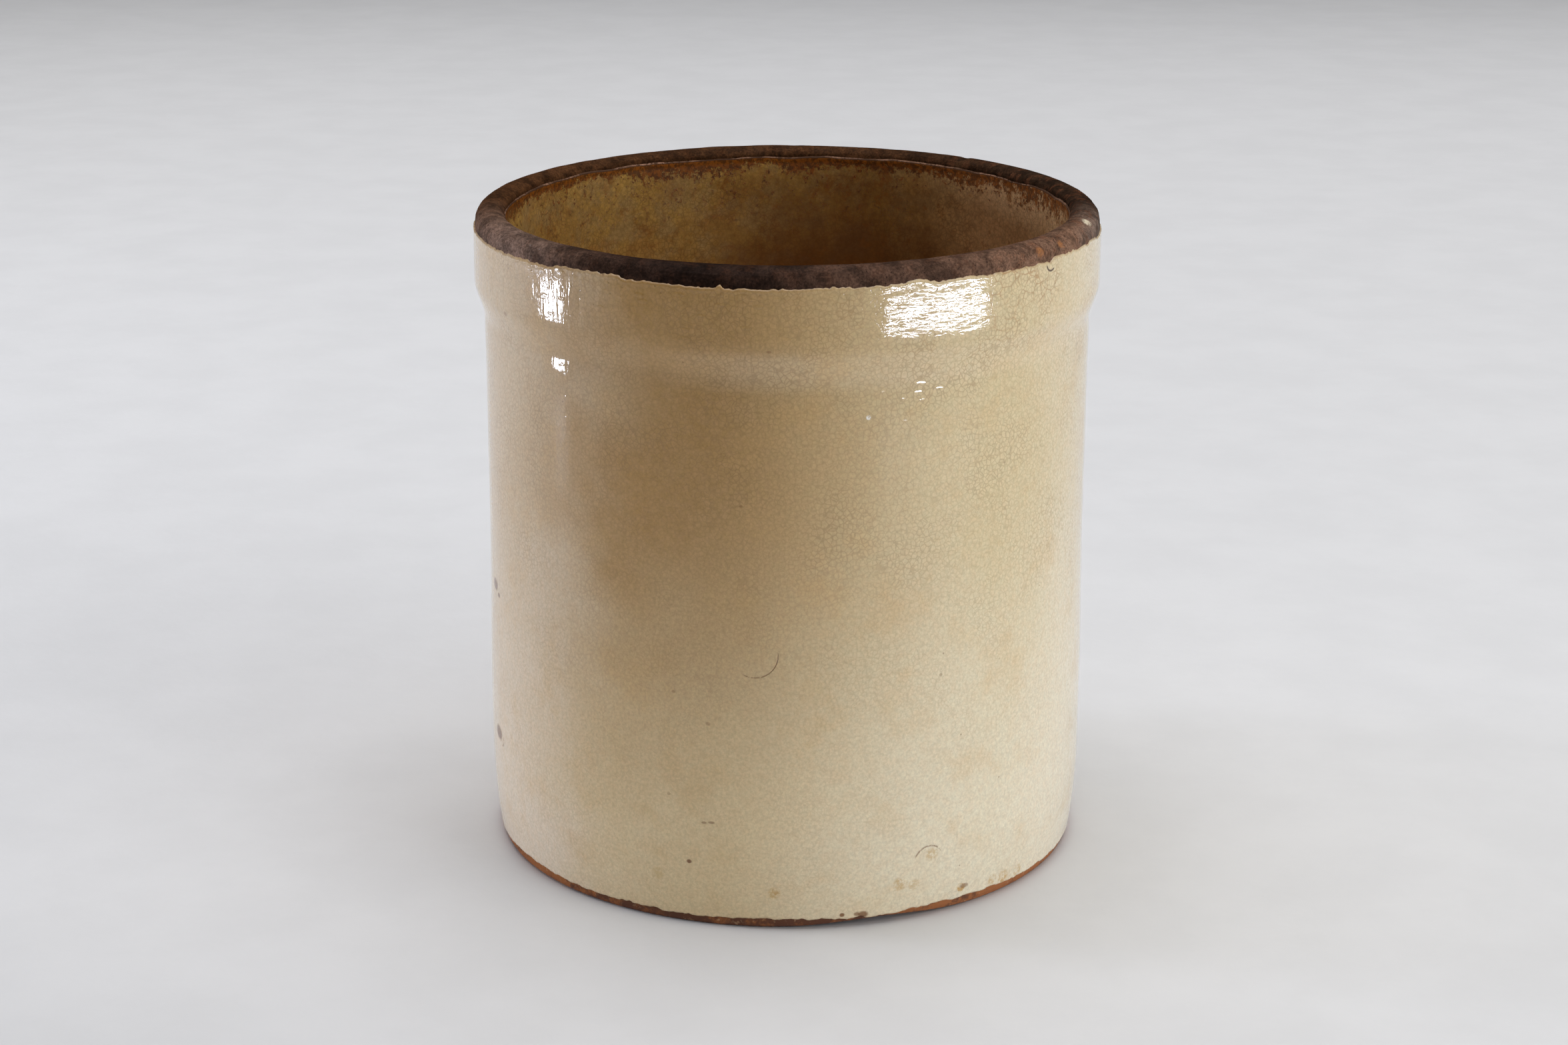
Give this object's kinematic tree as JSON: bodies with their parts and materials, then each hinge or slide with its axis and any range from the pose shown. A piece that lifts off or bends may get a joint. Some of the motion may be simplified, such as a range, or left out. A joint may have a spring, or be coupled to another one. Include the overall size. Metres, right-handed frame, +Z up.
{
  "type": "stoneware crock",
  "caption": "Open round stoneware fermenting crock with a proud collar, a dark rounded lip and a bare clay foot; free-standing.",
  "frame": {"origin": "centre of the flat base, on the surface that the crock stands on", "axes": "+Z up along the crock's own axis of revolution, towards its open mouth; X and Y lie in the base"},
  "size_m": [0.23, 0.23, 0.2424],
  "materials": {
    "clay": "matt bare fired clay",
    "outer_glaze": "glossy crazed cream and tan glaze",
    "inner_glaze": "glossy crazed ochre glaze with rust stains",
    "rim_slip": "matt chocolate brown slip"
  },
  "bodies": {
    "root": {"stoneware_body": "clay", "outer_glaze": "outer_glaze", "inner_glaze": "inner_glaze", "rim_slip": "rim_slip"}
  },
  "joints": []
}
